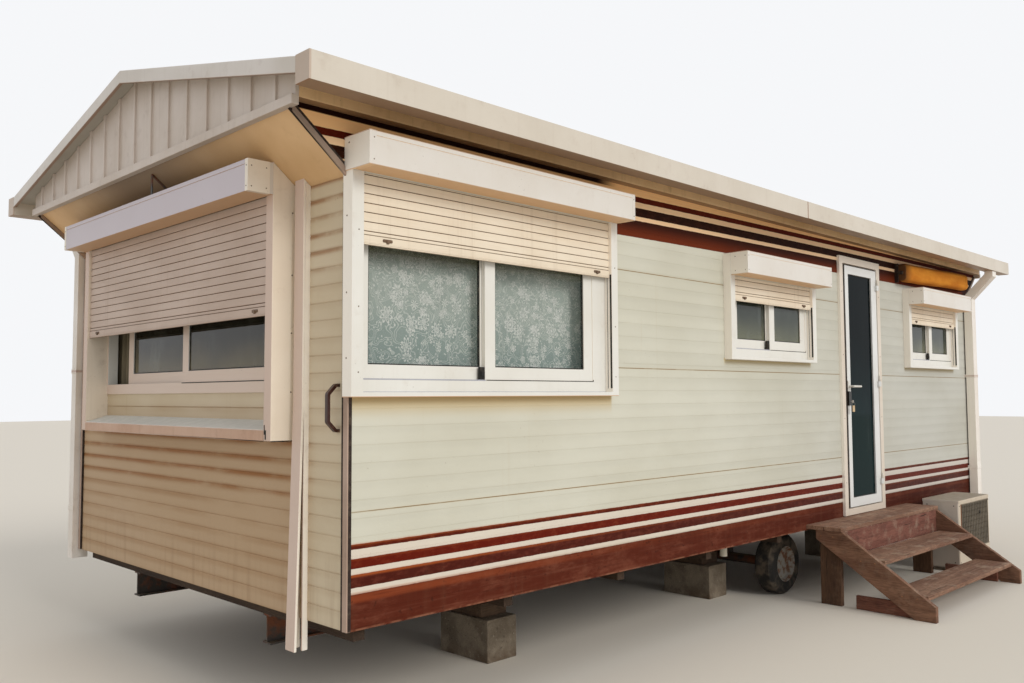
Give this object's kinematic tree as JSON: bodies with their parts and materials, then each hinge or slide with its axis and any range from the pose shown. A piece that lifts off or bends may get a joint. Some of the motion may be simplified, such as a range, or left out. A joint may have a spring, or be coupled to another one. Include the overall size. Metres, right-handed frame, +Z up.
{
  "type": "mobile home",
  "caption": "Mobile home with a low gabled roof, roller-shuttered windows, a glazed side door, timber steps and a raised chassis on block piers.",
  "frame": {"origin": "centre of the whole object's bounding box, on the ground", "axes": "+X along the front wall from the gable end that shows to the far end; the door side faces -Y; +Z up"},
  "size_m": [8.196, 4.255, 3.223],
  "materials": {
    "wall_skin": "cream painted siding with brown stripes",
    "end_skin": "weathered cream siding",
    "floor_board": "plywood",
    "ceiling_board": "painted board",
    "roof_sheet": "light grey roofing sheet",
    "gable_board": "off-white boarding",
    "trim_cream": "cream coated metal",
    "rail_metal": "dulled aluminium rail",
    "window_frame": "white window profile",
    "glass": "clear glass",
    "shutter_slats": "cream shutter slats",
    "door_metal": "white door profile",
    "handle_metal": "satin handle",
    "grab_paint": "dark brown painted handle",
    "steel_frame": "dark chassis paint with rust",
    "concrete": "grey concrete block",
    "timber": "weathered timber",
    "rubber_black": "tyre",
    "awning_cloth": "orange awning cloth",
    "ac_metal": "beige grey casing",
    "grille_plastic": "grille",
    "drain_plastic": "pale pipe"
  },
  "bodies": {
    "home": {"front_wall_near": "wall_skin", "front_wall_far": "wall_skin", "front_wall_over_door": "wall_skin", "front_wall_sill": "wall_skin", "back_wall": "wall_skin", "near_end_wall": "end_skin", "far_end_wall": "end_skin", "floor": "floor_board", "ceiling": "ceiling_board", "roof_front": "roof_sheet", "roof_back": "roof_sheet", "ridge_cap": "roof_sheet", "gables": "gable_board", "bargeboards": "trim_cream", "end_soffits": "trim_cream", "eave_boards": "trim_cream", "gutters": "trim_cream", "downpipe": "trim_cream", "corner_rails": "rail_metal", "end_trims": "window_frame", "window_surrounds": "window_frame", "window_sashes": "window_frame", "window_glass": "glass", "shutter_boxes": "window_frame", "shutters": "shutter_slats", "end_window_casing": "window_frame", "door_frame": "door_metal", "grab_handle": "grab_paint", "joists": "timber", "chassis_beams": "steel_frame", "concrete_piers": "concrete", "timber_packers": "timber", "axle": "steel_frame", "wheels": "rubber_black", "step_treads": "timber", "step_stringers": "timber", "step_posts": "timber", "step_apron": "timber", "step_side_boards": "timber", "awning_roll": "awning_cloth", "awning_brackets": "steel_frame", "air_conditioner": "ac_metal", "ac_grille": "grille_plastic", "eave_bracket": "steel_frame", "drain_stub": "drain_plastic"},
    "door": {"door_leaf": "door_metal", "door_glass": "glass", "door_handle": "handle_metal"}
  },
  "joints": [
    {"name": "door_hinge", "type": "hinge", "parent": "home", "child": "door", "pos_m": [1.573, -1.2645, 1.52], "axis": [0, 0, 1], "range_deg": [0, 100]}
  ]
}
